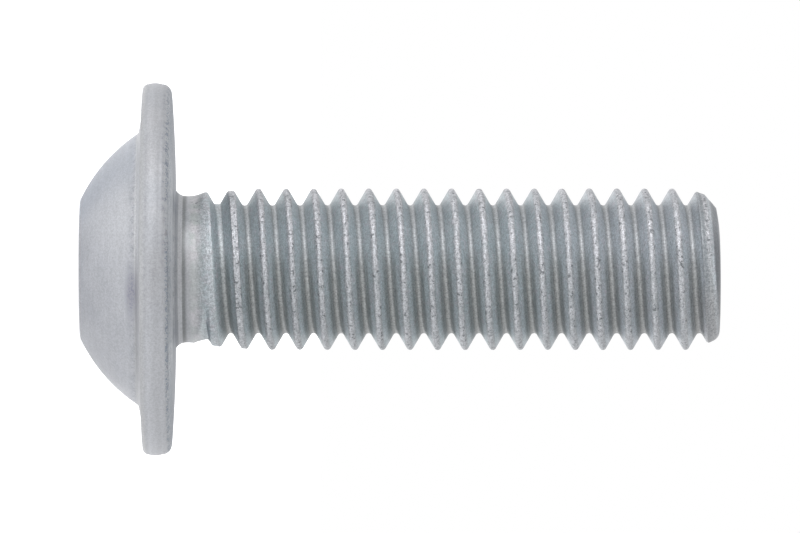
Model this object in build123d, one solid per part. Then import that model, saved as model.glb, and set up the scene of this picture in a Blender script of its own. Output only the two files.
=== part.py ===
from build123d import *
from math import ceil, radians, sqrt, tan
import os

# Flanged button head screw, M6 x 20, with a 4 mm hexagon socket and a rolled right-hand thread.
# Millimetres. It stands on its head: the flat round the socket lies on z = 0, the shank points up.

# Head
HEAD_HEIGHT = 3.4  # from the top flat to the bearing face
DOME_RADIUS = 5.8
TOP_FLAT_DIAMETER = 4.97
TOP_EDGE_BREAK = 0.05
FLANGE_DIAMETER = 13.53
FLANGE_THICKNESS = 1.15  # at the rim, up to the plane of the bearing face
FLANGE_RISE = 0.07  # how much the flange thickens from the rim in to the dome
DOME_BLEND = 0.21  # leg of the easing between dome and flange
RIM_DOME_SIDE_BREAK = 0.1
RIM_BEARING_SIDE_BREAK = 0.18
BEARING_FLAT_DIAMETER = 9.6  # outside it the bearing face falls away a little
BEARING_RELIEF = 0.105  # that fall, out at the rim

# Hexagon socket
SOCKET_ACROSS_FLATS = 4.05
SOCKET_DEPTH = 2.2
SOCKET_POINT_ANGLE = 120  # of the conical bottom below the hexagon
MOUTH_DIAMETER = 4.5  # of the small countersink, which leaves the six corners sharp
MOUTH_ANGLE = 120

# Shank
SHANK_LENGTH = 19.8  # under the head
HEAD_FILLET = 0.435  # between bearing face and neck
NECK_LENGTH = 0.55  # plain part, from the bearing face
NECK_STOCK = 0.09  # neck diameter over the thread's pitch diameter, left by the rolling
SWELL_LENGTH = 0.55  # where the neck widens into the first, low crests
SWELL_HEIGHT = 0.115
TIP_LENGTH = 1.2
TIP_ANGLE = 18.4  # of the taper, to the axis
TIP_EDGE_BREAK = 0.18

# Thread
MAJOR_DIAMETER = 5.88
PITCH = 1.0
FLANK_ANGLE = 60
CREST_FLAT = 0.126
ROOT_FLAT = 0.17
FIRST_CREST = 1.055  # from the bearing face to the first crest line, on the -X side
CREST_RUN_OUT = 1.8  # over which the crests grow to the major diameter
ROOT_RUN_OUT_START = 0.88  # from the bearing face
ROOT_RUN_OUT = 0.6  # over which the groove sinks from the neck to its full depth

SKIN = 0.05  # how far the thread's envelope stands off its full crests
OVERCUT = 0.5  # how far other trimming bodies reach past what they trim

major_radius = MAJOR_DIAMETER / 2
flank_steepness = 1 / tan(radians(FLANK_ANGLE / 2))
root_radius = major_radius - (PITCH - CREST_FLAT - ROOT_FLAT) / 2 * flank_steepness
pitch_radius = major_radius - (PITCH / 2 - CREST_FLAT) / 2 * flank_steepness
neck_radius = pitch_radius + NECK_STOCK / 2
swell_radius = neck_radius + SWELL_HEIGHT
screw_length = HEAD_HEIGHT + SHANK_LENGTH


def corner_of(sketch, point):
    """The corner of a sketch nearest to a point."""
    return sketch.vertices().sort_by_distance(point)[0]


def head_blank():
    """Dome, flange and bearing face, turned about the axis, without the socket."""
    dome_centre = sqrt(DOME_RADIUS**2 - (TOP_FLAT_DIAMETER / 2) ** 2)
    foot_height = HEAD_HEIGHT - FLANGE_THICKNESS - FLANGE_RISE
    foot_radius = sqrt(DOME_RADIUS**2 - (dome_centre - foot_height) ** 2)
    top_edge = (TOP_FLAT_DIAMETER / 2, 0)
    foot = (foot_radius, foot_height)
    rim_top = (FLANGE_DIAMETER / 2, HEAD_HEIGHT - FLANGE_THICKNESS)
    rim_bottom = (FLANGE_DIAMETER / 2, HEAD_HEIGHT - BEARING_RELIEF)
    bearing_edge = (BEARING_FLAT_DIAMETER / 2, HEAD_HEIGHT)
    with BuildPart() as head:
        with BuildSketch(Plane.XZ) as section:
            with BuildLine():
                Polyline(bearing_edge, (0, HEAD_HEIGHT), (0, 0), top_edge)
                RadiusArc(top_edge, foot, -DOME_RADIUS)
                Polyline(foot, rim_top, rim_bottom, bearing_edge)
            make_face()
            chamfer(corner_of(section, top_edge), TOP_EDGE_BREAK)
            chamfer(corner_of(section, rim_top), RIM_DOME_SIDE_BREAK)
            chamfer(corner_of(section, rim_bottom), RIM_BEARING_SIDE_BREAK)
            chamfer(corner_of(section, foot), DOME_BLEND)
        revolve(axis=Axis.Z)
    return head.part


def shank_blank():
    """Under-head fillet, neck, swell and tip, with room for the full thread between them.

    The small fillet is laid as two cones that meet on its arc.
    """
    outer_radius = major_radius + SKIN
    swell_end = HEAD_HEIGHT + NECK_LENGTH + SWELL_LENGTH
    crest_growth = (major_radius - swell_radius) / CREST_RUN_OUT
    tip_radius = major_radius - TIP_LENGTH * tan(radians(TIP_ANGLE))
    tip_start = screw_length - TIP_LENGTH - SKIN / tan(radians(TIP_ANGLE))
    arc_share = 1 - sqrt(0.5)
    fillet_start = (neck_radius + HEAD_FILLET, HEAD_HEIGHT)
    fillet_middle = (neck_radius + arc_share * HEAD_FILLET, HEAD_HEIGHT + arc_share * HEAD_FILLET)
    tip_edge = (tip_radius, screw_length)
    with BuildPart() as shank:
        with BuildSketch(Plane.XZ) as section:
            Polygon(
                (neck_radius + HEAD_FILLET, HEAD_HEIGHT - HEAD_FILLET),
                fillet_start,
                fillet_middle,
                (neck_radius, HEAD_HEIGHT + HEAD_FILLET),
                (neck_radius, HEAD_HEIGHT + NECK_LENGTH),
                (swell_radius, swell_end),
                (outer_radius, swell_end + (outer_radius - swell_radius) / crest_growth),
                (outer_radius, tip_start),
                tip_edge,
                (0, screw_length),
                (0, HEAD_HEIGHT - HEAD_FILLET),
                align=None,
            )
            chamfer(corner_of(section, tip_edge), TIP_EDGE_BREAK)
        revolve(axis=Axis.Z)
    return shank.part


def turn_of_helix(radius, height):
    """One right-hand turn of a helix, starting over +X at a height."""
    return Helix(PITCH, PITCH, radius, center=(0, 0, height)).edge()


def threaded_rod():
    """An endless thread of full depth, from inside the head to past the tip.

    Each turn has four helical faces: crest, flank, root and flank.
    Below the first turn and above the last, one ramp and one step close the solid.
    """
    flank_width = (PITCH - CREST_FLAT - ROOT_FLAT) / 2
    profile = [
        (major_radius, 0),
        (major_radius, CREST_FLAT),
        (root_radius, CREST_FLAT + flank_width),
        (root_radius, PITCH - flank_width),
        (major_radius, PITCH),
    ]
    start = HEAD_HEIGHT + FIRST_CREST - CREST_FLAT / 2 - 2.5 * PITCH
    turns = ceil((screw_length - start) / PITCH)
    faces = []
    for turn in range(turns):
        helices = [turn_of_helix(r, start + turn * PITCH + rise) for r, rise in profile]
        for lower, upper in zip(helices, helices[1:]):
            faces.append(Face.make_surface_from_curves(lower, upper))
    for height in (start, start + turns * PITCH):
        on_axis = Edge.make_line((0, 0, height), (0, 0, height + PITCH))
        faces.append(Face.make_surface_from_curves(turn_of_helix(major_radius, height), on_axis))
        step = [(0, 0, height)] + [(r, 0, height + rise) for r, rise in profile] + [on_axis @ 1]
        faces.append(Face(Wire.make_polygon(step, close=True)))
    return Solid(Shell(faces))


def run_out_core():
    """All that the thread leaves whole: the head, the neck and the cone where the groove fades out."""
    slope = (neck_radius - root_radius) / ROOT_RUN_OUT
    run_out_start = HEAD_HEIGHT + ROOT_RUN_OUT_START
    block_radius = FLANGE_DIAMETER / 2 + OVERCUT
    block_end = HEAD_HEIGHT + HEAD_FILLET
    inner_radius = root_radius - OVERCUT
    inner_end = run_out_start + (neck_radius - inner_radius) / slope
    with BuildPart() as core:
        with BuildSketch(Plane.XZ):
            Polygon(
                (0, -OVERCUT),
                (block_radius, -OVERCUT),
                (block_radius, block_end),
                (neck_radius + (run_out_start - block_end) * slope, block_end),
                (inner_radius, inner_end),
                (0, inner_end),
                align=None,
            )
        revolve(axis=Axis.Z)
    return core.part


def socket():
    """The space of the hexagon socket, with its conical bottom and its small countersink."""
    across_radius = SOCKET_ACROSS_FLATS / 2
    mouth_radius = MOUTH_DIAMETER / 2
    point_depth = across_radius / tan(radians(SOCKET_POINT_ANGLE / 2))
    mouth_depth = mouth_radius / tan(radians(MOUTH_ANGLE / 2))
    with BuildPart() as space:
        with BuildSketch():
            RegularPolygon(across_radius, 6, major_radius=False)
        extrude(amount=SOCKET_DEPTH)
        with Locations((0, 0, SOCKET_DEPTH)):
            Cone(across_radius, 0, point_depth, align=(Align.CENTER, Align.CENTER, Align.MIN))
        Cone(mouth_radius, 0, mouth_depth, align=(Align.CENTER, Align.CENTER, Align.MIN))
    return space.part


def flanged_screw():
    """The whole screw, one piece."""
    with BuildPart() as screw:
        add(head_blank())
        add(shank_blank())
        add(run_out_core() + threaded_rod(), mode=Mode.INTERSECT)
        add(socket(), mode=Mode.SUBTRACT)
    return screw.part


os.makedirs("parts", exist_ok=True)
export_step(flanged_screw(), "parts/flanged_screw.step")
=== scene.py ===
"""Looks of the flanged button head screw, M6 x 20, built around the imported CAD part.

The CAD node is plain: its corners are chamfers, its fillet is laid as cones and its thread has sharp edges.
One finer mesh stands for it, with the rounded thread, its run-out, the crowned rim and the zinc finish.
Lengths are in millimetres until the mesh is made.
"""

import math

import bpy
import numpy as np
from mathutils import Matrix, Vector

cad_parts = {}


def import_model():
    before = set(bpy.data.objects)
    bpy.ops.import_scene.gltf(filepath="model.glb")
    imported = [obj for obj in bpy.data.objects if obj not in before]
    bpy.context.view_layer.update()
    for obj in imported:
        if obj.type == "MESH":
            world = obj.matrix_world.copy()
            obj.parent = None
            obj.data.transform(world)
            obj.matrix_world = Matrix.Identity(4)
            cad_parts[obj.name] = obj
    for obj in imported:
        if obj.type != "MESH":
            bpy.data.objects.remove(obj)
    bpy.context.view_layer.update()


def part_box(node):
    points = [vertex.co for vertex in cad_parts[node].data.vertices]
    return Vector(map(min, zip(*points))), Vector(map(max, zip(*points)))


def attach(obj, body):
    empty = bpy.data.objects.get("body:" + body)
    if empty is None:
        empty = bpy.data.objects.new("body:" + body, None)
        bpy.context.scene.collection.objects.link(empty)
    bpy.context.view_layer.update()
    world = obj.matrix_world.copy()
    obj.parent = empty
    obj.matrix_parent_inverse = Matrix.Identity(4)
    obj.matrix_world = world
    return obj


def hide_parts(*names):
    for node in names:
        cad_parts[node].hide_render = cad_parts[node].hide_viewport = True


NODE = "flanged_screw"
METRE = 1000.0
FULL_TURN = 2 * math.pi
WHITE = (1.0, 1.0, 1.0, 1.0)

# Head, from the top flat (z = 0) to the bearing face
HEAD_HEIGHT = 3.4
DOME_RADIUS = 5.9
DOME_LIMIT = 5.7  # the dome's curve is not followed past this radius
TOP_FLAT_RADIUS = 2.53
TOP_EDGE_ROUND = 0.2
FLANGE_TOP = 2.265  # flange's upper face near the rim
FLANGE_SWEEP_END = 6.55  # radius where that face is level
FLANGE_SWEEP = 0.0555  # how strongly it rises from there in to the dome
FLANGE_SWEEP_POWER = 2.286
DOME_BLEND = 0.06
DOME_FOOT = (4.62, 5.1)  # radii of the dome's foot, where the rings lie close together
RIM_DOME_ROUND = 0.2
RIM_BEARING_ROUND = 0.33
RIM_CROWN = 0.04
RIM_UNEVEN = 0.006  # depth of slow dips in the rim's side
RIM_DIPS = (1.9, 31)  # their length round the rim, and their seed
EDGE_UNEVEN = 0.012  # depth of dips in the rim's rounded edge
EDGE_DIPS = (0.8, 32)
RIM_DIPS_FROM = (0.3, 1.0)  # share of the rim's height over which they set in
BEARING_RELIEF = 0.12
BEARING_FLAT_RADIUS = 4.6
BEARING_RELIEF_POWER = 1.33
HEAD_FILLET = 0.435

# Rings of the head's mesh; a count takes in both ends of its stretch
TOP_SHARES = (0.0, 0.5, 1.0)
TOP_EDGE_SHARES = (0.25, 0.5, 0.75, 1.0)
DOME_RINGS = (17, 15, 11)  # to the dome's foot, over it and on to the rim
DOME_EDGE_RINGS = 8
RIM_RINGS = 11
BEARING_EDGE_RINGS = 11
SEAT_RINGS = 10
SEAT_RADII = (4.2, 3.8, 3.4, 3.2)
FILLET_RINGS = 10

# Hexagon socket
SOCKET_ACROSS_RADIUS = 2.025
SOCKET_DEPTH = 2.2
SOCKET_POINT_ANGLE = 60.0  # half the angle of the pointed bottom
POINT_SHARES = (0.25, 0.5, 0.75, 0.94)  # where its rings lie, from the middle out
WALL_HEIGHTS = (2.13, 1.6, 1.0, 0.5)
MOUTH_RADIUS = 2.25
MOUTH_EDGE = 0.03
CORNER_STEP = 0.006  # how close rings lie to the mouth's corners, to keep them crisp

# Thread
PITCH = 1.0
MAJOR_RADIUS = 2.94
NECK_RADIUS = 2.66
CREST_ROUND = 0.109
ROOT_ROUND = 0.138
FLANK_TILT = 60.0  # of a flank to the axis
FIRST_CREST = 3.955  # height of a crest line over +X
THREAD_START = 3.9
HALF_TURN_ROWS = (0.035, 0.07, 0.1, 0.16, 0.24, 0.32, 0.372, 0.4, 0.43, 0.465)  # from crest to root
TIP_ROUND = 0.3
TIP_ROUND_INSET = 0.26
END_CROWN = 0.025  # how far the end face's rim lies below its middle, over +X
END_CROWN_GROOVE = 0.1  # and more of it over -X
END_SHARES = (0.95, 0.88, 0.78, 0.65, 0.45, 0.2)  # where the end face's rings lie, from its rim in
TIP_RINGS = 10
COLUMNS = 180
NEAR_RING = 0.012  # thread rows closer than this to a ring are drawn to it
SHARP_FROM = 38.0  # degrees between faces that meet at a visible edge

# Radius over the height above the bearing face, where the rolled thread runs out: of the crests,
# of the crests over -Y, where they rise more gently, and of the groove's floor
CREST_RUN_OUT = ((0.0, 2.66), (0.6, 2.66), (0.85, 2.70), (1.13, 2.815), (1.38, 2.77), (1.7, 2.823),
                 (2.1, 2.858), (2.62, 2.90), (3.07, 2.93), (3.7, 2.96), (25.0, 2.96))
FRONT_RUN_OUT = ((0.0, 2.66), (0.5, 2.66), (0.9, 2.70), (1.3, 2.80), (1.7, 2.823), (2.1, 2.858),
                 (2.62, 2.90), (3.07, 2.93), (3.7, 2.96), (25.0, 2.96))
ROOT_RUN_OUT = ((0.0, 2.82), (0.6, 2.80), (0.93, 2.79), (0.98, 2.72), (1.03, 2.58), (1.08, 2.50),
                (1.25, 2.45), (1.56, 2.37), (2.05, 2.28), (25.0, 2.28))
FRONT_EDGES = (0.2, 0.8)  # of -sin(angle), between the two run-outs of the crests
GROOVE_SHARE = 0.85  # how far the floor's run-out follows the groove, not the plain height
# Radius over the distance to the end: of what is left of the groove over -X, and of the taper
TIP_FILL = ((0.0, 2.14), (0.15, 2.27), (0.31, 2.42), (0.45, 2.58), (0.6, 2.2), (0.8, 1.5), (25.0, 1.5))
TIP_FILL_FALL = 0.45  # how fast that filling sinks away from -X
TIP_TAPER = ((0.0, 2.53), (0.27, 2.623), (0.75, 2.783), (1.1, 2.92), (1.3, 2.99), (25.0, 2.99))

# Widths over which corners are eased: of the tables above, and where two of these surfaces meet
CREST_EASE, FRONT_EASE, ROOT_EASE, FILL_EASE, TAPER_EASE = 0.08, 0.12, 0.06, 0.05, 0.08
ROOT_BLEND, FILL_BLEND, CREST_BLEND, TAPER_BLEND = 0.04, 0.05, 0.03, 0.09

# Wear of the crests
CREST_WEAR = 0.014  # its depth
WEAR_WAVES = ((0.6, 0.9, 11), (0.5, 0.31, 12))  # share, length and seed of slow and fast waves
WORN_CREST = (0.16, 0.05)  # distances from the crest line where it starts and is full
WORN_FROM = (1.0, 1.6)  # heights above the bearing face where it starts and is full
KNOCK_COUNT = 90
KNOCKED_TURNS = 19

# Marks on the mesh that steer the finish and the painted shade. A pair says where a mark starts and where it
# is full:
# over the height above the bearing face,
THREAD_FROM = (0.75, 1.1)
CREST_FROM = (0.85, 1.15)
GROWN_FROM = (1.3, 2.0)
NECK_BAND = (0.45, 0.75, 0.7, 1.3)  # starts, is full, ends and is gone
# over the distance to the end,
LAST_CREST = (1.35, 1.2)
LAST_TURN = (1.0, 0.7)
# over the radius,
SHANK_SKIN = (2.0, 2.2)
SEAT_OUTER = (4.6, 6.2)
RIM_FROM = (6.2, 6.6)
BEARING_REACH = (6.5, 6.2)
FLANGE_FROM = (4.85, 4.95)
END_FROM = (1.2, 2.1)
# over the depth below the crests' envelope,
CREST_DEPTH = (0.15, 0.06)
ROOT_DEPTH = (0.35, 0.45)
# over the distance from the groove's middle,
ROOT_REACH = (0.145, 0.095)
# over the height above the top flat,
RIM_SIDE_FROM = (2.82, 3.22)
FLANGE_TOP_REACH = (2.5, 2.35)
# and over the turn from -X (-1) to +X (1)
UPPER_SIDE = (0.2, -0.3)
CREST_REACH = 0.19  # half the width of a crest's light band
CREST_FADE = 0.09
LAST_CREST_NARROWER = 0.05
LAST_CREST_SHIFT = 0.07
LAST_RIDGE = (-0.24, -0.15, -0.07, 0.05)  # over the distance from the crest line
# Painted shade: dark lines at the groove edges, mostly on the lower side.
GROOVE_EDGE = (0.16, 0.032)  # its distance from the groove's middle, and its spread
SEAT_INNER_SHARE = 0.5
WORN_END = 0.28  # how far the worn end reaches from the tip,
WORN_END_TILT = 0.16  # how much less of it over +X, and more over -X,
WORN_END_FADE = 0.08  # and how softly it starts
AXIS_RADIUS = 2.2  # closer to the axis than this the turn fades to 0

# Bands along the axis, of the finish and of painted highlight and shade: height where each starts, is full,
# ends and is gone
CREASE = (1.7, 2.0, 2.03, 2.1)
FOOT_HIGHLIGHT = (2.03, 2.09, 2.19, 2.26)
RIM_EDGE_SHADE = (2.34, 2.38, 2.46, 2.56)
DULLER_RIM = (2.3, 2.5, 3.2, 3.6)
RIM_CORNER = (3.11, 3.26, 3.5, 3.62)
BEARING_BAND = (3.2, 3.26, 3.5, 3.62)
SEAT_SHADE_LINE = (3.44, 3.48, 3.55, 3.60)
FILLET_SHADE_LINE = (3.69, 3.75, 3.79, 3.93)
FILLET_SHADE = (3.5, 3.56, 3.7, 3.78)

# Single spots, of the finish and of painted light and shade: place and reach along each axis
LIT_DOME = ((-1.7, -4.5, 1.1), (2.5, 3.4, 2.6))
RIM_MIDDLE_SHADE = ((0.0, -6.7, 2.8), (1.3, 1.5, 1.2))
CLEANER_RIM = ((-1.8, -6.4, 3.3), (1.3, 2.5, 0.8))
SMUDGE = ((0.85, -4.7, 1.96), (1.3, 1.6, 0.36))
RUST = ((1.88, -2.2, 21.97), (0.16, 0.2, 0.12))

# Noises of the finish: scale per millimetre, detail and roughness
CLOUDS = (0.55, 2.0, 0.55)
PATCHES = (1.7, 3.0, 0.55)
BLOTCHES = (4.5, 4.0, 0.6)
GRAIN = (11.0, 3.0, 0.6)
FINE = (22.0, 2.0, 0.5)
SPECKS = (7.0, 2.0, 0.5)
PITS = (5.5, 3.0, 0.6)
TURNED = (2.2, 3.0, 0.6)  # these two about the axis
DRAWN = (14.0, 3.0, 0.65)

# Tones of the finish and of painted light and shade; pairs are blended by a noise or by the side
HEAD_TONES = ((0.43, 0.44, 0.468), (0.465, 0.475, 0.50))
LIT_TONE = (0.56, 0.57, 0.59)
UPPER_DOME_SHADE_TONE = (0.39, 0.42, 0.47)
RIM_TONES = ((0.39, 0.40, 0.425), (0.42, 0.425, 0.445))
LOWER_RIM_LIT_TONE = (0.45, 0.46, 0.485)
RIM_MIDDLE_SHADE_TONE = (0.35, 0.36, 0.38)
RIM_EDGE_SHADE_TONE = (0.34, 0.35, 0.37)
CORNER_TONE = (0.47, 0.48, 0.50)
FLANGE_TOP_TONE = (0.40, 0.405, 0.415)
SEAT_LIT_SHADED_TONES = ((0.62, 0.63, 0.65), (0.355, 0.37, 0.40))
FOOT_HIGHLIGHT_TONE = (0.68, 0.69, 0.705)
FLANK_TONES = ((0.435, 0.493, 0.52), (0.475, 0.525, 0.548))
FLANK_BLUSH = (0.54, 0.50, 0.545)
TIP_FLANK_TONE = (0.57, 0.555, 0.61)
NECK_TONES = ((0.44, 0.47, 0.465), (0.545, 0.535, 0.555))
LIT_NECK_TONE = (0.585, 0.59, 0.605)
GROOVE_EDGE_SHADE_TONE = (0.17, 0.185, 0.18)
ROOT_TONES_SHADED_BELOW = ((0.345, 0.355, 0.365), (0.285, 0.29, 0.285))
CREST_BASE_TONES_SHADED_BELOW = ((0.35, 0.37, 0.39), (0.30, 0.32, 0.33))
CREST_TONES = ((0.33, 0.34, 0.36), (0.60, 0.605, 0.635))
SPECK_TONE = (0.12, 0.13, 0.14)
STAIN_TONE = (0.135, 0.17, 0.215)
PIT_TONE = (0.115, 0.105, 0.115)
SEAT_SHADE_LINE_TONE = (0.13, 0.14, 0.16)
FILLET_SHADE_LINE_TONE = (0.13, 0.14, 0.14)
PEPPER_TONE = (0.17, 0.185, 0.22)
SMUDGE_TONE = (0.20, 0.20, 0.26)
RUST_TONE = (0.22, 0.15, 0.08)
LAST_RIDGE_SHADE_TONE = (0.20, 0.215, 0.23)
LAST_TURN_SHADE_TONE = (0.33, 0.325, 0.33)
WORN_TONE = (0.115, 0.125, 0.14)
SOFT_EDGES = (0.35, 0.65)  # of a noise that blends a pair of tones
CRISP_EDGES = (0.36, 0.64)
METAL = 0.6
ROUGHNESS = 0.40
RELIEF_DEPTH = 0.03
RELIEF_STRENGTH = 0.5

# Stage
MIDDLE_HEIGHT = 11.59  # height the camera looks at
CAMERA_SIDE = -0.1
CAMERA_DISTANCE = 0.4  # metres
SEEN_WIDTH = 29.03
SENSOR_WIDTH = 36.0
LAMP_HEIGHT = 11.6  # height the lamps face
FLOOR_RADIUS = 1.2  # metres
FLOOR_DROP = 0.02
FLOOR_TONE = (0.86, 0.86, 0.87, 1.0)
FLOOR_GLOW = 0.8
FLOOR_CORNERS = 96
SKY_LEVELS = (0.85, 1.0)  # as diffuse light, and as seen directly or in gloss

rng = np.random.default_rng(620)


def smoothstep(low, high, value):
    t = np.clip((value - low) / (high - low), 0.0, 1.0)
    return t * t * (3.0 - 2.0 * t)


def band(value, start, full, end, gone):
    """1 between full and end, easing to 0 at start and at gone."""
    return smoothstep(start, full, value) * smoothstep(gone, end, value)


def smooth_min(a, b, width):
    share = np.clip(0.5 + 0.5 * (b - a) / width, 0.0, 1.0)
    return b + (a - b) * share - width * share * (1.0 - share)


def smooth_max(a, b, width):
    return -smooth_min(-np.asarray(a), -np.asarray(b), width)


def eased(points, height, width):
    """Value of a line through the points at each height, with its corners eased."""
    places, values = np.array(points).T
    offsets = np.linspace(-width, width, 7)
    return sum(np.interp(height + o, places, values) for o in offsets) / len(offsets)


def wander(along, cell, seed):
    """Smooth random values from -1 to 1 along a length."""
    count = 4096
    values = np.random.default_rng(seed).uniform(-1.0, 1.0, count)
    place = np.asarray(along) / cell
    low = np.floor(place).astype(int)
    t = smoothstep(0.0, 1.0, place - low)
    return values[low % count] * (1.0 - t) + values[(low + 1) % count] * t


def from_crest(z, angle):
    """Signed distance along the axis to the nearest crest line, and the length along the thread there."""
    place = (z - FIRST_CREST) / PITCH - angle / FULL_TURN
    turn = np.round(place)
    along = (angle + FULL_TURN * turn) * MAJOR_RADIUS
    return (place - turn) * PITCH, along


def thread_section(distance):
    """Radius of the full thread at an axial distance from its crest."""
    away = np.abs(distance)
    steep = math.tan(math.radians(FLANK_TILT))
    reach = math.cos(math.radians(90 - FLANK_TILT))
    crest_edge = CREST_ROUND * reach
    root_edge = ROOT_ROUND * reach
    apex = MAJOR_RADIUS - CREST_ROUND / 2 + steep * crest_edge
    flank = apex - steep * away
    crest = MAJOR_RADIUS - CREST_ROUND + np.sqrt(np.maximum(CREST_ROUND**2 - away**2, 0.0))
    to_root = PITCH / 2 - away
    floor = apex - steep * (PITCH / 2 - root_edge) - ROOT_ROUND / 2
    root = floor + ROOT_ROUND - np.sqrt(np.maximum(ROOT_ROUND**2 - to_root**2, 0.0))
    return np.where(away <= crest_edge, crest, np.where(to_root <= root_edge, root, flank))


def dings():
    """Small knocks on the crests: length along the thread, side, size along, size across, depth."""
    return np.stack([
        rng.uniform(0.0, FULL_TURN * MAJOR_RADIUS * KNOCKED_TURNS, KNOCK_COUNT),
        rng.uniform(-0.08, 0.08, KNOCK_COUNT),
        rng.uniform(0.07, 0.22, KNOCK_COUNT),
        rng.uniform(0.04, 0.08, KNOCK_COUNT),
        rng.uniform(0.012, 0.04, KNOCK_COUNT),
    ], 1)


KNOCKS = dings()


def shank_radius(z, angle, end):
    """Radius of the shank, and how far it lies below the crests' envelope."""
    above = z - HEAD_HEIGHT
    distance, along = from_crest(z, angle)
    front = smoothstep(*FRONT_EDGES, -np.sin(angle))
    grown = eased(CREST_RUN_OUT, above, CREST_EASE) * (1.0 - front)
    grown = grown + eased(FRONT_RUN_OUT, above, FRONT_EASE) * front
    groove = above + np.where(distance > 0, PITCH / 2, -PITCH / 2) - distance
    floor = eased(ROOT_RUN_OUT, GROOVE_SHARE * groove + (1 - GROOVE_SHARE) * above, ROOT_EASE)
    filling = eased(TIP_FILL, end - z, FILL_EASE) - TIP_FILL_FALL * (1.0 + np.cos(angle))
    taper = eased(TIP_TAPER, end - z, TAPER_EASE)
    envelope = np.minimum(np.minimum(grown, MAJOR_RADIUS), taper)
    radius = smooth_max(thread_section(distance), floor, ROOT_BLEND)
    radius = smooth_max(radius, filling, FILL_BLEND)
    radius = smooth_min(radius, grown, CREST_BLEND)
    radius = smooth_min(radius, taper, TAPER_BLEND)
    full = smoothstep(*WORN_FROM, above)
    wear = sum(share * np.abs(wander(along, cell, seed)) for share, cell, seed in WEAR_WAVES)
    radius = radius - CREST_WEAR * wear * smoothstep(*WORN_CREST, np.abs(distance)) * full
    for place, side, long, wide, deep in KNOCKS:
        near = ((along - place) / long) ** 2 + ((distance - side) / wide) ** 2
        radius = radius - deep * np.exp(-near) * full
    return radius, envelope - radius


def hexagon_radius(angles):
    return SOCKET_ACROSS_RADIUS / np.cos(np.mod(angles, math.pi / 3) - math.pi / 6)


def outer_face(radius):
    """Height of the head's outer surface over a radius: dome, then flange."""
    centre = math.sqrt(DOME_RADIUS**2 - TOP_FLAT_RADIUS**2)
    dome = centre - math.sqrt(DOME_RADIUS**2 - min(radius, DOME_LIMIT) ** 2)
    sweep = FLANGE_SWEEP * max(FLANGE_SWEEP_END - radius, 0.0) ** FLANGE_SWEEP_POWER
    return float(smooth_min(dome, FLANGE_TOP - sweep, DOME_BLEND))


def bearing_face(radius, rim_radius):
    """Height of the bearing face, which falls away a little outside its flat."""
    out = max(radius - BEARING_FLAT_RADIUS, 0.0) / (rim_radius - BEARING_FLAT_RADIUS)
    return HEAD_HEIGHT - BEARING_RELIEF * out**BEARING_RELIEF_POWER


def arc_steps(last, count):
    """Angles in radians from 0 to the last, without the first."""
    return np.radians(np.linspace(0, last, count)[1:])


def socket_rings(angles):
    """Rings of radius and height from the socket's bottom along its wall to its mouth, and the mouth."""
    flat = np.ones(len(angles))
    hexagon = hexagon_radius(angles)
    cone = 1 / math.tan(math.radians(SOCKET_POINT_ANGLE))
    mouth = np.maximum(hexagon + MOUTH_EDGE, MOUTH_RADIUS)
    mouth_depth = np.maximum((MOUTH_RADIUS - hexagon) * cone, MOUTH_EDGE)
    rings = []
    for share in POINT_SHARES:
        rings.append((hexagon * share, SOCKET_DEPTH + SOCKET_ACROSS_RADIUS * (1 - share) * cone * flat))
    rings.append((hexagon * 0.985, (SOCKET_DEPTH - 0.01) * flat))
    rings += [(hexagon, height * flat) for height in WALL_HEIGHTS]
    rings.append((hexagon, mouth_depth + 0.02))
    rings.append((hexagon + CORNER_STEP, mouth_depth))
    rings.append((mouth - CORNER_STEP, CORNER_STEP * flat))
    return rings, mouth


def dome_rings(angles, mouth, corner):
    """Rings over the top flat, its rounded edge, the dome and the flange, out to the rim's corner."""
    flat = np.ones(len(angles))
    tilt = math.asin(TOP_FLAT_RADIUS / DOME_RADIUS)
    edge = TOP_FLAT_RADIUS - TOP_EDGE_ROUND * math.tan(tilt / 2)
    rings = []
    for share in TOP_SHARES:
        rings.append((mouth * (1 - share) + edge * share + 2 * CORNER_STEP * (1 - share), 0.0 * flat))
    for share in TOP_EDGE_SHARES:
        a = tilt * share
        r = edge + TOP_EDGE_ROUND * math.sin(a)
        rings.append((r * flat, TOP_EDGE_ROUND * (1 - math.cos(a)) * flat))
    stops = (edge + TOP_EDGE_ROUND * math.sin(tilt), *DOME_FOOT, corner)
    for start, stop, count in zip(stops, stops[1:], DOME_RINGS):
        rings += [(r * flat, outer_face(r) * flat) for r in np.linspace(start, stop, count)[1:]]
    return rings


def rim_rings(angles, rim_radius, corner, inner):
    """Rings round the rim: its edge to the dome, its crowned side and its edge to the bearing face."""
    flat = np.ones(len(angles))
    round_rim = angles * rim_radius
    low = FLANGE_TOP + RIM_DOME_ROUND
    high = bearing_face(inner, rim_radius) - RIM_BEARING_ROUND
    rings = []
    for a in arc_steps(90, DOME_EDGE_RINGS):
        r = corner + RIM_DOME_ROUND * math.sin(a)
        rings.append((r * flat, (FLANGE_TOP + RIM_DOME_ROUND * (1 - math.cos(a))) * flat))
    for share in np.linspace(0, 1, RIM_RINGS)[1:]:
        bulge = RIM_CROWN * (1 - (2 * share - 1) ** 2)
        uneven = RIM_UNEVEN * wander(round_rim, *RIM_DIPS) * smoothstep(*RIM_DIPS_FROM, share)
        rings.append((rim_radius - RIM_CROWN + bulge - np.abs(uneven), (low + (high - low) * share) * flat))
    for a in arc_steps(90, BEARING_EDGE_RINGS):
        r = inner + RIM_BEARING_ROUND * math.cos(a)
        uneven = EDGE_UNEVEN * np.abs(wander(round_rim, *EDGE_DIPS)) * math.sin(2 * a)
        rings.append((r - uneven, (high + RIM_BEARING_ROUND * math.sin(a)) * flat))
    return rings


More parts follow.
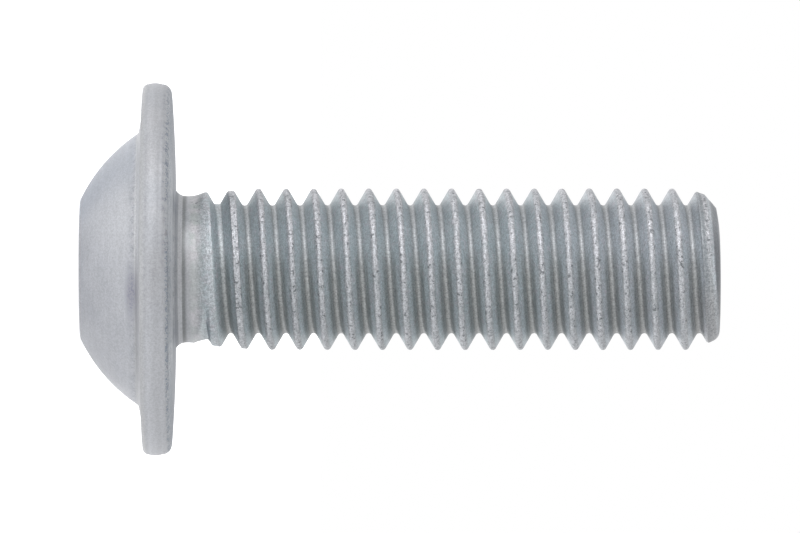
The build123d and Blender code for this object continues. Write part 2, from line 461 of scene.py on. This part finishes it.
def seat_rings(angles, rim_radius, inner):
    """Rings over the bearing face and the fillet, in to the neck."""
    flat = np.ones(len(angles))
    fillet_foot = NECK_RADIUS + HEAD_FILLET
    radii = [*np.linspace(inner, BEARING_FLAT_RADIUS, SEAT_RINGS)[1:], *SEAT_RADII, fillet_foot]
    rings = [(r * flat, bearing_face(r, rim_radius) * flat) for r in radii]
    for a in arc_steps(90, FILLET_RINGS):
        r = fillet_foot - HEAD_FILLET * math.sin(a)
        rings.append((r * flat, (HEAD_HEIGHT + HEAD_FILLET * (1 - math.cos(a))) * flat))
    return rings


def head_rings(angles, rim_radius):
    """Rings of radius and height from the socket's bottom, round the head, to the neck."""
    corner = rim_radius - RIM_CROWN - RIM_DOME_ROUND
    inner = rim_radius - RIM_CROWN - RIM_BEARING_ROUND
    rings, mouth = socket_rings(angles)
    rings += dome_rings(angles, mouth, corner)
    rings += rim_rings(angles, rim_radius, corner, inner)
    return rings + seat_rings(angles, rim_radius, inner)


def thread_rows():
    """Axial offsets of one turn's rows from the crest, close together where the section curves."""
    return np.array([0.0, *HALF_TURN_ROWS, 0.5, *[1.0 - h for h in reversed(HALF_TURN_ROWS)]]) * PITCH


class Skin:
    """Vertices and faces of one closed surface, ring by ring."""

    def __init__(self, angles):
        self.angles = angles
        self.points = []
        self.faces = []

    def vertex(self, radius, angle, z):
        self.points.append((radius * math.cos(angle), radius * math.sin(angle), z))
        return len(self.points) - 1

    def ring(self, radii, heights):
        return [self.vertex(r, a, z) for r, a, z in zip(radii, self.angles, heights)]

    def level_ring(self, height, length):
        """The shank's ring at one height."""
        heights = np.full(len(self.angles), height)
        radii, _ = shank_radius(heights, self.angles, length)
        return self.ring(radii, heights)

    def face(self, *corners):
        kept = [c for i, c in enumerate(corners) if c != corners[i - 1]]
        if len(kept) > 2:
            self.faces.append(kept)

    def join(self, lower, upper):
        count = len(self.angles)
        for j in range(count):
            k = (j + 1) % count
            self.face(lower[j], lower[k], upper[k], upper[j])

    def fan(self, ring, centre, upward):
        count = len(ring)
        for j in range(count):
            k = (j + 1) % count
            if upward:
                self.face(ring[j], ring[k], centre)
            else:
                self.face(ring[k], ring[j], centre)


def add_thread(skin, start, length):
    """Rows that follow the thread from the ring at its start to the ring below the tip's round."""
    angles = skin.angles
    rows = thread_rows()
    per_turn = len(rows)
    turns = int(math.ceil((length - THREAD_START) / PITCH)) + 2
    first = FIRST_CREST - PITCH * 2
    heights = (first + np.repeat(np.arange(turns), per_turn) * PITCH + np.tile(rows, turns))[:, None]
    heights = heights + (angles * PITCH / FULL_TURN)[None, :]
    finish = length - TIP_ROUND
    radii, _ = shank_radius(heights, np.broadcast_to(angles, heights.shape), length)
    end = skin.level_ring(finish, length)
    index = np.zeros(heights.shape, int)
    for j in range(COLUMNS):
        for m in range(heights.shape[0]):
            z = heights[m, j]
            if z < THREAD_START + NEAR_RING:
                index[m, j] = start[j]
            elif z > finish - NEAR_RING:
                index[m, j] = end[j]
            else:
                index[m, j] = skin.vertex(radii[m, j], angles[j], z)
    last = heights.shape[0] - 1
    for j in range(COLUMNS):
        for m in range(last):
            if j + 1 < COLUMNS:
                right = (index[m, j + 1], index[m + 1, j + 1])
            else:
                right = (index[min(m + per_turn, last), 0], index[min(m + 1 + per_turn, last), 0])
            skin.face(int(index[m, j]), int(right[0]), int(right[1]), int(index[m + 1, j]))
    return end


def add_end(skin, ring, length):
    """The tip's round and the crowned end face."""
    angles = skin.angles
    finish = length - TIP_ROUND
    crown = END_CROWN + END_CROWN_GROOVE * ((1 - np.cos(angles)) / 2) ** 2
    for a in arc_steps(90, TIP_RINGS):
        level = finish + (TIP_ROUND - crown) * math.sin(a)
        radius, _ = shank_radius(level, angles, length)
        rim = radius - TIP_ROUND_INSET * (1 - math.cos(a))
        upper = skin.ring(rim, level)
        skin.join(ring, upper)
        ring = upper
    for share in END_SHARES:
        upper = skin.ring(rim * share, length - crown * share**4)
        skin.join(ring, upper)
        ring = upper
    skin.fan(ring, skin.vertex(0.0, 0.0, length), True)


def screw_skin(length, rim_radius):
    """The whole outer surface of the screw."""
    angles = np.arange(COLUMNS) * FULL_TURN / COLUMNS
    skin = Skin(angles)
    point_depth = SOCKET_ACROSS_RADIUS / math.tan(math.radians(SOCKET_POINT_ANGLE))
    centre = skin.vertex(0.0, 0.0, SOCKET_DEPTH + point_depth)
    rings = [skin.ring(*ring) for ring in head_rings(angles, rim_radius)]
    skin.fan(rings[0], centre, False)
    for lower, upper in zip(rings, rings[1:]):
        skin.join(lower, upper)
    start = skin.level_ring(THREAD_START, length)
    skin.join(rings[-1], start)
    add_end(skin, add_thread(skin, start, length), length)
    return skin


def surface_marks(points, length):
    """Where each kind of finish and of painted shade lies, from 0 to 1 at every vertex."""
    x, y, z = points.T
    angle = np.mod(np.arctan2(y, x), FULL_TURN)
    radius = np.hypot(x, y)
    turning_x, turning_y = x / np.maximum(radius, AXIS_RADIUS), y / np.maximum(radius, AXIS_RADIUS)
    above = z - HEAD_HEIGHT
    before_end = length - z
    distance, _ = from_crest(z, angle)
    _, below = shank_radius(z, angle, length)
    to_root = PITCH / 2 - np.abs(distance)
    threaded = smoothstep(*THREAD_FROM, above) * smoothstep(*SHANK_SKIN, radius)
    grown = smoothstep(*GROWN_FROM, above)
    last_crest = smoothstep(*LAST_CREST, before_end)
    reach = CREST_REACH - LAST_CREST_NARROWER * last_crest
    on_crest = smoothstep(reach, reach - CREST_FADE, np.abs(distance - LAST_CREST_SHIFT * last_crest))
    on_seat = SEAT_INNER_SHARE + (1 - SEAT_INNER_SHARE) * smoothstep(*SEAT_OUTER, radius)
    rim = smoothstep(*RIM_FROM, radius)
    edge_place, edge_spread = GROOVE_EDGE
    end_worn = smoothstep(0.0, WORN_END_FADE, WORN_END - before_end - WORN_END_TILT * turning_x)
    return {
        "crest": threaded * smoothstep(*CREST_FROM, above) * smoothstep(*CREST_DEPTH, below) * on_crest,
        "last_ridge": last_crest * band(distance, *LAST_RIDGE),
        "grown": grown,
        "root": threaded * grown * smoothstep(*ROOT_REACH, to_root) * smoothstep(*ROOT_DEPTH, below),
        "groove_edge_shade": threaded * grown * np.exp(-(((to_root - edge_place) / edge_spread) ** 2)),
        "thread": threaded,
        "neck": band(above, *NECK_BAND),
        "rim_corner": on_seat * band(z, *RIM_CORNER),
        "rim_side": rim * smoothstep(*RIM_SIDE_FROM, z) * smoothstep(*UPPER_SIDE, turning_x),
        "bearing": smoothstep(*BEARING_REACH, radius) * band(z, *BEARING_BAND),
        "flange_top": smoothstep(*FLANGE_FROM, radius) * smoothstep(*FLANGE_TOP_REACH, z),
        "last_turn": smoothstep(*LAST_TURN, before_end),
        "tip_end": smoothstep(*END_FROM, radius) * end_worn,
        "turning_x": turning_x,
        "turning_y": turning_y,
    }


def screw_object(length, rim_radius):
    skin = screw_skin(length, rim_radius)
    mesh = bpy.data.meshes.new("screw_body")
    points = np.array(skin.points)
    mesh.from_pydata((points / METRE).tolist(), [], skin.faces)
    for name, values in surface_marks(points, length).items():
        layer = mesh.attributes.new(name, "FLOAT", "POINT")
        layer.data.foreach_set("value", values.astype(np.float32))
    mesh.polygons.foreach_set("use_smooth", np.ones(len(mesh.polygons), bool))
    mesh.set_sharp_from_angle(angle=math.radians(SHARP_FROM))
    mesh.validate()
    mesh.update()
    screw = bpy.data.objects.new("screw_body", mesh)
    bpy.context.scene.collection.objects.link(screw)
    return screw


class Graph:
    """Short names for the shader nodes used below."""

    def __init__(self, owner):
        owner.use_nodes = True
        self.tree = owner.node_tree
        self.tree.nodes.clear()

    def feed(self, target, value):
        if isinstance(value, bpy.types.NodeSocket):
            self.tree.links.new(value, target)
        else:
            target.default_value = value

    def node(self, kind, settings=None, **inputs):
        made = self.tree.nodes.new(kind)
        for name, value in (settings or {}).items():
            setattr(made, name, value)
        for name, value in inputs.items():
            self.feed(made.inputs[name.replace("_", " ")], value)
        return made

    def output(self, kind, shader):
        self.node(kind, Surface=shader.outputs[0])

    def math(self, operation, a, b):
        made = self.node("ShaderNodeMath", {"operation": operation})
        self.feed(made.inputs[0], a)
        self.feed(made.inputs[1], b)
        return made.outputs[0]

    def times(self, product, *factors):
        for factor in factors:
            product = self.math("MULTIPLY", product, factor)
        return product

    def plus(self, total, *others):
        for other in others:
            total = self.math("ADD", total, other)
        return total

    def most(self, a, b):
        return self.math("MAXIMUM", a, b)

    def less(self, a, b):
        return self.math("SUBTRACT", a, b)

    def vector(self, operation, a, b):
        made = self.node("ShaderNodeVectorMath", {"operation": operation})
        self.feed(made.inputs[0], a)
        self.feed(made.inputs[1], b)
        return made.outputs[0]

    def ramp(self, value, low, high, to_low=0.0, to_high=1.0):
        made = self.node("ShaderNodeMapRange", {"interpolation_type": "SMOOTHSTEP"}, Value=value)
        limits = {"From Min": low, "From Max": high, "To Min": to_low, "To Max": to_high}
        for name, limit in limits.items():
            made.inputs[name].default_value = limit
        return made.outputs["Result"]

    def band(self, value, start, full, end, gone):
        """1 between full and end, easing to 0 at start and at gone."""
        return self.times(self.ramp(value, start, full), self.ramp(value, gone, end))

    def noise(self, vector, scale, detail, roughness):
        made = self.node("ShaderNodeTexNoise", Vector=vector, Scale=scale, Detail=detail, Roughness=roughness)
        return made.outputs["Fac"]

    def mix(self, share, a, b, kind="MIX"):
        made = self.node("ShaderNodeMix", {"data_type": "RGBA", "blend_type": kind, "clamp_factor": True})
        sockets = [s for s in made.inputs if s.enabled]
        for socket, value in zip(sockets, (share, a, b)):
            self.feed(socket, value if not isinstance(value, tuple) else (*value, 1.0))
        return next(s for s in made.outputs if s.enabled)


class Finish(Graph):
    """Matt zinc: smooth on the head, mottled at the flange's corner, rough and bright on the crests, with
    painted highlights and painted shade laid into the colour.
    """

    def __init__(self, material):
        super().__init__(material)
        place = self.node("ShaderNodeTexCoord").outputs["Object"]
        self.mm = self.vector("MULTIPLY", place, (METRE, METRE, METRE))
        self.height = self.node("ShaderNodeSeparateXYZ", Vector=self.mm).outputs["Z"]
        # Turn about the axis: over_x goes from -1, the upper side as seen, to 1, the lower side
        self.over_x = self.mark("turning_x")
        self.over_y = self.mark("turning_y")
        self.low_side = self.ramp(self.over_x, -0.45, 0.2)
        self.thread = self.mark("thread")
        self.neck = self.mark("neck")
        self.crest = self.mark("crest")
        self.grown = self.mark("grown")
        self.corner = self.mark("rim_corner")
        self.rim_side = self.mark("rim_side")
        self.last_turn = self.mark("last_turn")
        self.clouds = self.noise(self.mm, *CLOUDS)
        self.patches = self.noise(self.mm, *PATCHES)
        self.blotches = self.noise(self.mm, *BLOTCHES)
        self.grain = self.noise(self.mm, *GRAIN)
        self.fine = self.noise(self.mm, *FINE)
        self.turned = self.noise(self.turning(3.0), *TURNED)
        self.drawn = self.noise(self.turning(1.0), *DRAWN)
        self.coarse = self.ramp(self.blotches, *CRISP_EDGES)
        self.speckle = self.ramp(self.grain, *CRISP_EDGES)
        self.dust = self.ramp(self.fine, *CRISP_EDGES)

    def mark(self, name):
        made = self.node("ShaderNodeAttribute", {"attribute_name": name, "attribute_type": "GEOMETRY"})
        return made.outputs["Fac"]

    def turning(self, stretch):
        """Place on a cylinder of radius 1, for noise drawn out round the axis."""
        height = self.times(self.height, stretch)
        return self.node("ShaderNodeCombineXYZ", X=self.over_x, Y=self.over_y, Z=height).outputs[0]

    def spot(self, centre, reach):
        """1 at a place on the part, fading to 0 at a distance along each axis."""
        scaled = self.vector("DIVIDE", self.vector("SUBTRACT", self.mm, centre), reach)
        length = self.node("ShaderNodeVectorMath", {"operation": "LENGTH"}, Vector=scaled)
        return self.ramp(length.outputs["Value"], 1.0, 0.0)

    def head(self):
        """Tone of the dome, the rim and the bearing face, with painted highlights on the dome and at its
        foot, painted shade on the dome's upper side, at the rim's middle and where the rim's rounding ends,
        and painted light on the rim's lower side and on the bearing face's -Y side.
        """
        tone = self.mix(self.ramp(self.clouds, *SOFT_EDGES), *HEAD_TONES)
        tone = self.mix(self.times(self.spot(*LIT_DOME), 0.75), tone, LIT_TONE)
        # Painted shade: the dome turns darker and bluer towards its upper side as seen.
        tone = self.mix(self.ramp(self.over_x, -0.5, -0.85, 0.0, 0.5), tone, UPPER_DOME_SHADE_TONE)
        rim = self.mix(self.ramp(self.clouds, *SOFT_EDGES), *RIM_TONES)
        # Painted light: the rim is lighter towards its lower side as seen.
        rim = self.mix(self.ramp(self.over_x, 0.15, 0.5, 0.0, 0.8), rim, LOWER_RIM_LIT_TONE)
        # Painted shade: the rim's middle on the -Y side is darker, away from the highlight.
        rim = self.mix(self.times(self.spot(*RIM_MIDDLE_SHADE), 0.5), rim, RIM_MIDDLE_SHADE_TONE)
        tone = self.mix(self.ramp(self.height, 2.3, 2.5), tone, rim)
        # Painted shade: a faint dark line where the rim's rounding ends.
        tone = self.mix(self.times(self.band(self.height, *RIM_EDGE_SHADE), 0.5), tone, RIM_EDGE_SHADE_TONE)
        tone = self.mix(self.times(self.corner, 0.7), tone, CORNER_TONE)
        tone = self.mix(self.times(self.mark("flange_top"), 0.8), tone, FLANGE_TOP_TONE)
        # Painted light and shade: the bearing face is light where it faces -Y and darker round the sides.
        seat_lit_shaded = self.mix(self.ramp(self.over_y, -0.95, -0.55), *SEAT_LIT_SHADED_TONES)
        tone = self.mix(self.mark("bearing"), tone, seat_lit_shaded)
        # Painted highlight: a pale band along the dome's foot, strongest on the upper side.
        foot_highlight = self.times(
            self.band(self.height, *FOOT_HIGHLIGHT),
            self.ramp(self.over_x, 0.2, -0.25, 0.1, 0.9),
            self.ramp(self.over_x, -0.8, -0.45, 0.35, 1.0),
            self.plus(self.times(self.speckle, 0.35), 0.65),
        )
        return self.mix(foot_highlight, tone, FOOT_HIGHLIGHT_TONE)

    def shank(self, tone):
        """Lays the thread's flanks, the plain neck and the grooves over the head's tone, with painted light
        on the neck and painted shade at the grooves.
        """
        flank = self.mix(self.ramp(self.patches, *SOFT_EDGES), *FLANK_TONES)
        flank = self.mix(self.ramp(self.blotches, 0.5, 0.72, 0.0, 0.6), flank, FLANK_BLUSH)
        flank = self.mix(self.ramp(self.height, 15.0, 20.0, 0.0, 0.25), flank, TIP_FLANK_TONE)
        tone = self.mix(self.thread, tone, flank)
        plain = self.mix(self.ramp(self.patches, 0.42, 0.6), *NECK_TONES)
        plain = self.mix(self.ramp(self.over_x, -0.4, 0.0, 0.0, 0.4), plain, LIT_NECK_TONE)
        tone = self.mix(self.neck, tone, plain)
        # Painted shade at the groove edges, strongest on the lower side as seen.
        groove_shade_strength = self.plus(self.times(self.low_side, 0.84), 0.04)
        tone = self.mix(self.times(self.mark("groove_edge_shade"), groove_shade_strength), tone, GROOVE_EDGE_SHADE_TONE)
        # The root's own darker tone, with painted shade making it darker still on the lower side.
        root = self.mix(self.low_side, *ROOT_TONES_SHADED_BELOW)
        return self.mix(self.times(self.mark("root"), 0.85), tone, root)

    def crests(self, tone):
        """Lays the bright, ragged lines of the rolled crests, partly worn metal and partly painted highlight,
        dimmed by painted shade on the lower side, and their dark specks.
        """
        ragged = self.less(self.plus(self.times(self.coarse, 0.5), self.times(self.speckle, 0.35)), 0.425)
        # Worn crest and painted highlight; painted shade dims it on the lower side and on the last turn's
        # lower side.
        line = self.times(
            self.ramp(self.plus(self.crest, ragged), 0.45, 0.8),
            self.less(1.0, self.times(self.low_side, 0.4)),
            self.ramp(self.patches, 0.36, 0.5, 0.5, 1.0),
            self.plus(self.times(self.grown, 0.45), 0.55),
            self.less(1.0, self.times(self.last_turn, self.low_side, 0.6)),
        )
        glint = self.plus(self.times(self.ramp(self.drawn, 0.38, 0.62), 0.65), self.times(self.dust, 0.35))
        full_crest = self.times(self.crest, self.grown)
        # Painted shade: the crests' base tone is darker on the lower side.
        tone = self.mix(self.times(full_crest, 0.8), tone, self.mix(self.low_side, *CREST_BASE_TONES_SHADED_BELOW))
        tone = self.mix(line, tone, self.mix(glint, *CREST_TONES))
        upper_neck = self.times(self.neck, self.ramp(self.over_x, -0.4, -0.7))
        specks = self.ramp(self.noise(self.mm, *SPECKS), 0.40, 0.33)
        return self.mix(self.times(specks, self.most(full_crest, upper_neck), 0.8), tone, SPECK_TONE)

    def rim_stains(self, tone):
        """Lays the mottled stain and the dark pits of the flange's bearing-side corner."""
        field = self.most(self.corner, self.times(self.rim_side, 0.38))
        small = self.plus(self.speckle, self.dust)
        marbled = self.plus(self.times(self.coarse, 0.3), self.times(small, 0.35))
        stained = self.times(
            self.ramp(self.plus(marbled, self.times(field, 0.2)), 0.38, 1.0),
            self.ramp(field, 0.05, 0.8),
            self.less(1.0, self.times(self.spot(*CLEANER_RIM), 0.65)),
        )
        tone = self.mix(self.times(stained, 0.8), tone, STAIN_TONE)
        pits = self.ramp(self.noise(self.mm, *PITS), 0.40, 0.35)
        pits = self.times(pits, self.ramp(self.over_x, -0.45, -0.05), self.corner, 0.65)
        return self.mix(pits, tone, PIT_TONE)

    def head_lines(self, tone):
        """Lays the fine dark lines under the head, painted shade on the fillet as a dark reflection, and dark
        pepper spots in the crease and on the rim.
        """
        # Painted shade: dark lines on the fillet, a dark reflection under the flange.
        tone = self.mix(self.times(self.band(self.height, *SEAT_SHADE_LINE), 0.55), tone, SEAT_SHADE_LINE_TONE)
        shade = self.times(self.band(self.height, *FILLET_SHADE), 0.2)
        fillet = self.most(self.band(self.height, *FILLET_SHADE_LINE), shade)
        tone = self.mix(self.times(fillet, 0.75), tone, FILLET_SHADE_LINE_TONE)
        # Dark pepper spots in the crease at the dome's foot and on the rim's upper side.
        spots = self.plus(self.times(self.fine, 0.6), self.times(self.blotches, 0.4))
        pepper = self.ramp(spots, 0.515, 0.585)
        peppered = self.most(self.times(self.band(self.height, *CREASE), 0.55), self.times(self.rim_side, 0.6))
        return self.mix(self.times(peppered, pepper), tone, PEPPER_TONE)

    def single_marks(self, tone):
        """Lays the smudge, the rust spot, painted shade on the last crest and on the last turn's lower side,
        and the worn end.
        """
        smudge = self.times(self.spot(*SMUDGE), self.ramp(self.grain, 0.4, 0.6, 0.45, 1.0), 0.9)
        tone = self.mix(smudge, tone, SMUDGE_TONE)
        rust = self.times(self.spot(*RUST), self.ramp(self.grain, 0.4, 0.6), 0.7)
        tone = self.mix(rust, tone, RUST_TONE)
        # Painted shade: a dark band on the head side of the last crest.
        tone = self.mix(self.times(self.mark("last_ridge"), 0.75), tone, LAST_RIDGE_SHADE_TONE)
        # Painted shade: the last turn is darker on its lower side.
        lower_last_turn_shade = self.times(self.last_turn, self.ramp(self.over_x, 0.1, 0.5, 0.0, 0.4))
        tone = self.mix(lower_last_turn_shade, tone, LAST_TURN_SHADE_TONE)
        worn = self.times(
            self.mark("tip_end"),
            self.ramp(self.over_x, 0.75, 0.1, 0.4, 0.95),
            self.ramp(self.over_x, -0.75, -0.3, 0.75, 1.0),
        )
        return self.mix(worn, tone, WORN_TONE)

    def shaded(self, tone):
        """The tone with the grain of the plating, the turning streaks and painted shade towards the upper and
        lower sides.
        """
        speckle = self.times(self.less(self.speckle, 0.5), 1.1)
        dust = self.times(self.less(self.dust, 0.5), 0.9)
        strength = self.plus(self.times(self.thread, 0.14), 0.11)
        mottle = self.plus(self.times(self.plus(speckle, dust), strength), 1.0)
        streak = self.plus(self.times(self.less(self.turned, 0.5), 0.25), 1.0)
        # Painted shade: the thread darker towards its upper and lower sides as seen, the neck towards its
        # upper side.
        sides = self.plus(
            self.ramp(self.over_x, -0.55, -0.95, 0.0, 0.13),
            self.ramp(self.over_x, 0.2, 0.6, 0.0, 0.06),
        )
        upper_neck_shade = self.times(self.neck, self.ramp(self.over_x, -0.3, -0.7, 0.0, 0.1))
        side_shade = self.plus(self.times(sides, self.thread), upper_neck_shade)
        shade = self.times(mottle, streak, self.less(1.0, side_shade))
        grey = self.node("ShaderNodeCombineXYZ", X=shade, Y=shade, Z=shade).outputs[0]
        return self.mix(1.0, tone, grey, "MULTIPLY")

    def colour(self):
        tone = self.crests(self.shank(self.head()))
        tone = self.head_lines(self.rim_stains(tone))
        return self.shaded(self.single_marks(tone))

    def roughness(self):
        rim = self.times(self.band(self.height, *DULLER_RIM), 0.09)
        return self.plus(self.times(self.fine, 0.12), ROUGHNESS, self.times(self.crest, 0.05), rim)

    def relief(self):
        """Height of the plating's grain, strongest on the crests."""
        coarse = self.plus(self.times(self.crest, 1.6), self.times(self.corner, 0.9), 0.15)
        grain = self.plus(self.times(self.thread, 0.45), 0.25)
        return self.plus(
            self.times(self.less(self.blotches, 0.5), coarse),
            self.times(self.grain, grain),
            self.times(self.fine, 0.12),
        )


def zinc():
    material = bpy.data.materials.new("matt_zinc")
    finish = Finish(material)
    bump = finish.node(
        "ShaderNodeBump",
        Strength=RELIEF_STRENGTH,
        Distance=RELIEF_DEPTH / METRE,
        Height=finish.relief(),
    )
    shader = finish.node(
        "ShaderNodeBsdfPrincipled",
        Base_Color=finish.colour(),
        Metallic=METAL,
        Roughness=finish.roughness(),
        Normal=bump.outputs["Normal"],
    )
    finish.output("ShaderNodeOutputMaterial", shader)
    return material


def seen_white(g):
    """1 for rays that show the background: from the camera, and by gloss or glass."""
    path = g.node("ShaderNodeLightPath")
    seen = g.most(path.outputs["Is Camera Ray"], path.outputs["Is Glossy Ray"])
    return g.most(seen, path.outputs["Is Transmission Ray"])


def floor():
    """Pale floor under the screw, a disc about its axis, just clear of the head's top flat."""
    level = -FLOOR_DROP / METRE
    turns = [FULL_TURN * i / FLOOR_CORNERS for i in range(FLOOR_CORNERS)]
    points = [(FLOOR_RADIUS * math.cos(a), FLOOR_RADIUS * math.sin(a), level) for a in turns]
    mesh = bpy.data.meshes.new("floor")
    mesh.from_pydata(points, [], [list(range(FLOOR_CORNERS))])
    material = bpy.data.materials.new("pale_floor")
    g = Graph(material)
    surface = g.node("ShaderNodeBsdfDiffuse", Color=FLOOR_TONE)
    glow = g.node("ShaderNodeEmission", Color=WHITE, Strength=g.times(seen_white(g), FLOOR_GLOW))
    both = g.node("ShaderNodeAddShader")
    g.feed(both.inputs[0], surface.outputs[0])
    g.feed(both.inputs[1], glow.outputs[0])
    g.output("ShaderNodeOutputMaterial", both)
    mesh.materials.append(material)
    made = bpy.data.objects.new("floor", mesh)
    bpy.context.scene.collection.objects.link(made)


def world():
    """White all round, a little dimmer as diffuse light than as it is seen."""
    made = bpy.data.worlds.new("studio")
    g = Graph(made)
    level = g.ramp(seen_white(g), 0.0, 1.0, *SKY_LEVELS)
    g.output("ShaderNodeOutputWorld", g.node("ShaderNodeBackground", Color=WHITE, Strength=level))
    bpy.context.scene.world = made


def soft_box(name, toward, distance, wide, tall, power):
    """Area lamp facing the middle of the shank, wide about the screw's axis and tall along it."""
    middle = Vector((0.0, 0.0, LAMP_HEIGHT / METRE))
    direction = Vector(toward).normalized()
    data = bpy.data.lights.new(name, "AREA")
    data.shape = "RECTANGLE"
    data.size = wide
    data.size_y = tall
    data.energy = power
    made = bpy.data.objects.new(name, data)
    along = Vector((0.0, 0.0, 1.0)).cross(direction).normalized()
    upright = direction.cross(along)
    turn = Matrix((along, upright, direction)).transposed().to_4x4()
    made.matrix_world = Matrix.Translation(middle + direction * distance) @ turn
    bpy.context.scene.collection.objects.link(made)


def camera():
    """Looks along +Y, with +Z to the right and -X up, so that the screw lies on its side."""
    data = bpy.data.cameras.new("camera")
    data.sensor_width = SENSOR_WIDTH
    data.lens = SENSOR_WIDTH * CAMERA_DISTANCE / (SEEN_WIDTH / METRE)
    data.clip_start, data.clip_end = 0.01, 10.0
    made = bpy.data.objects.new("camera", data)
    turn = Matrix(((0.0, -1.0, 0.0), (0.0, 0.0, -1.0), (1.0, 0.0, 0.0))).to_4x4()
    place = (CAMERA_SIDE / METRE, -CAMERA_DISTANCE, MIDDLE_HEIGHT / METRE)
    made.matrix_world = Matrix.Translation(place) @ turn
    bpy.context.scene.collection.objects.link(made)
    bpy.context.scene.camera = made


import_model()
_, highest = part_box(NODE)
screw = screw_object(highest.z * METRE, min(highest.x, highest.y) * METRE)
screw.data.materials.append(zinc())
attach(screw, "root")
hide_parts(NODE)

camera()
world()
floor()
soft_box("key", toward=(-0.72, -0.69, 0.0), distance=0.35, wide=0.2, tall=0.08, power=0.45)
soft_box("fill", toward=(0.85, -0.5, 0.0), distance=0.45, wide=0.3, tall=0.08, power=0.02)
bpy.context.scene.view_settings.view_transform = "Standard"
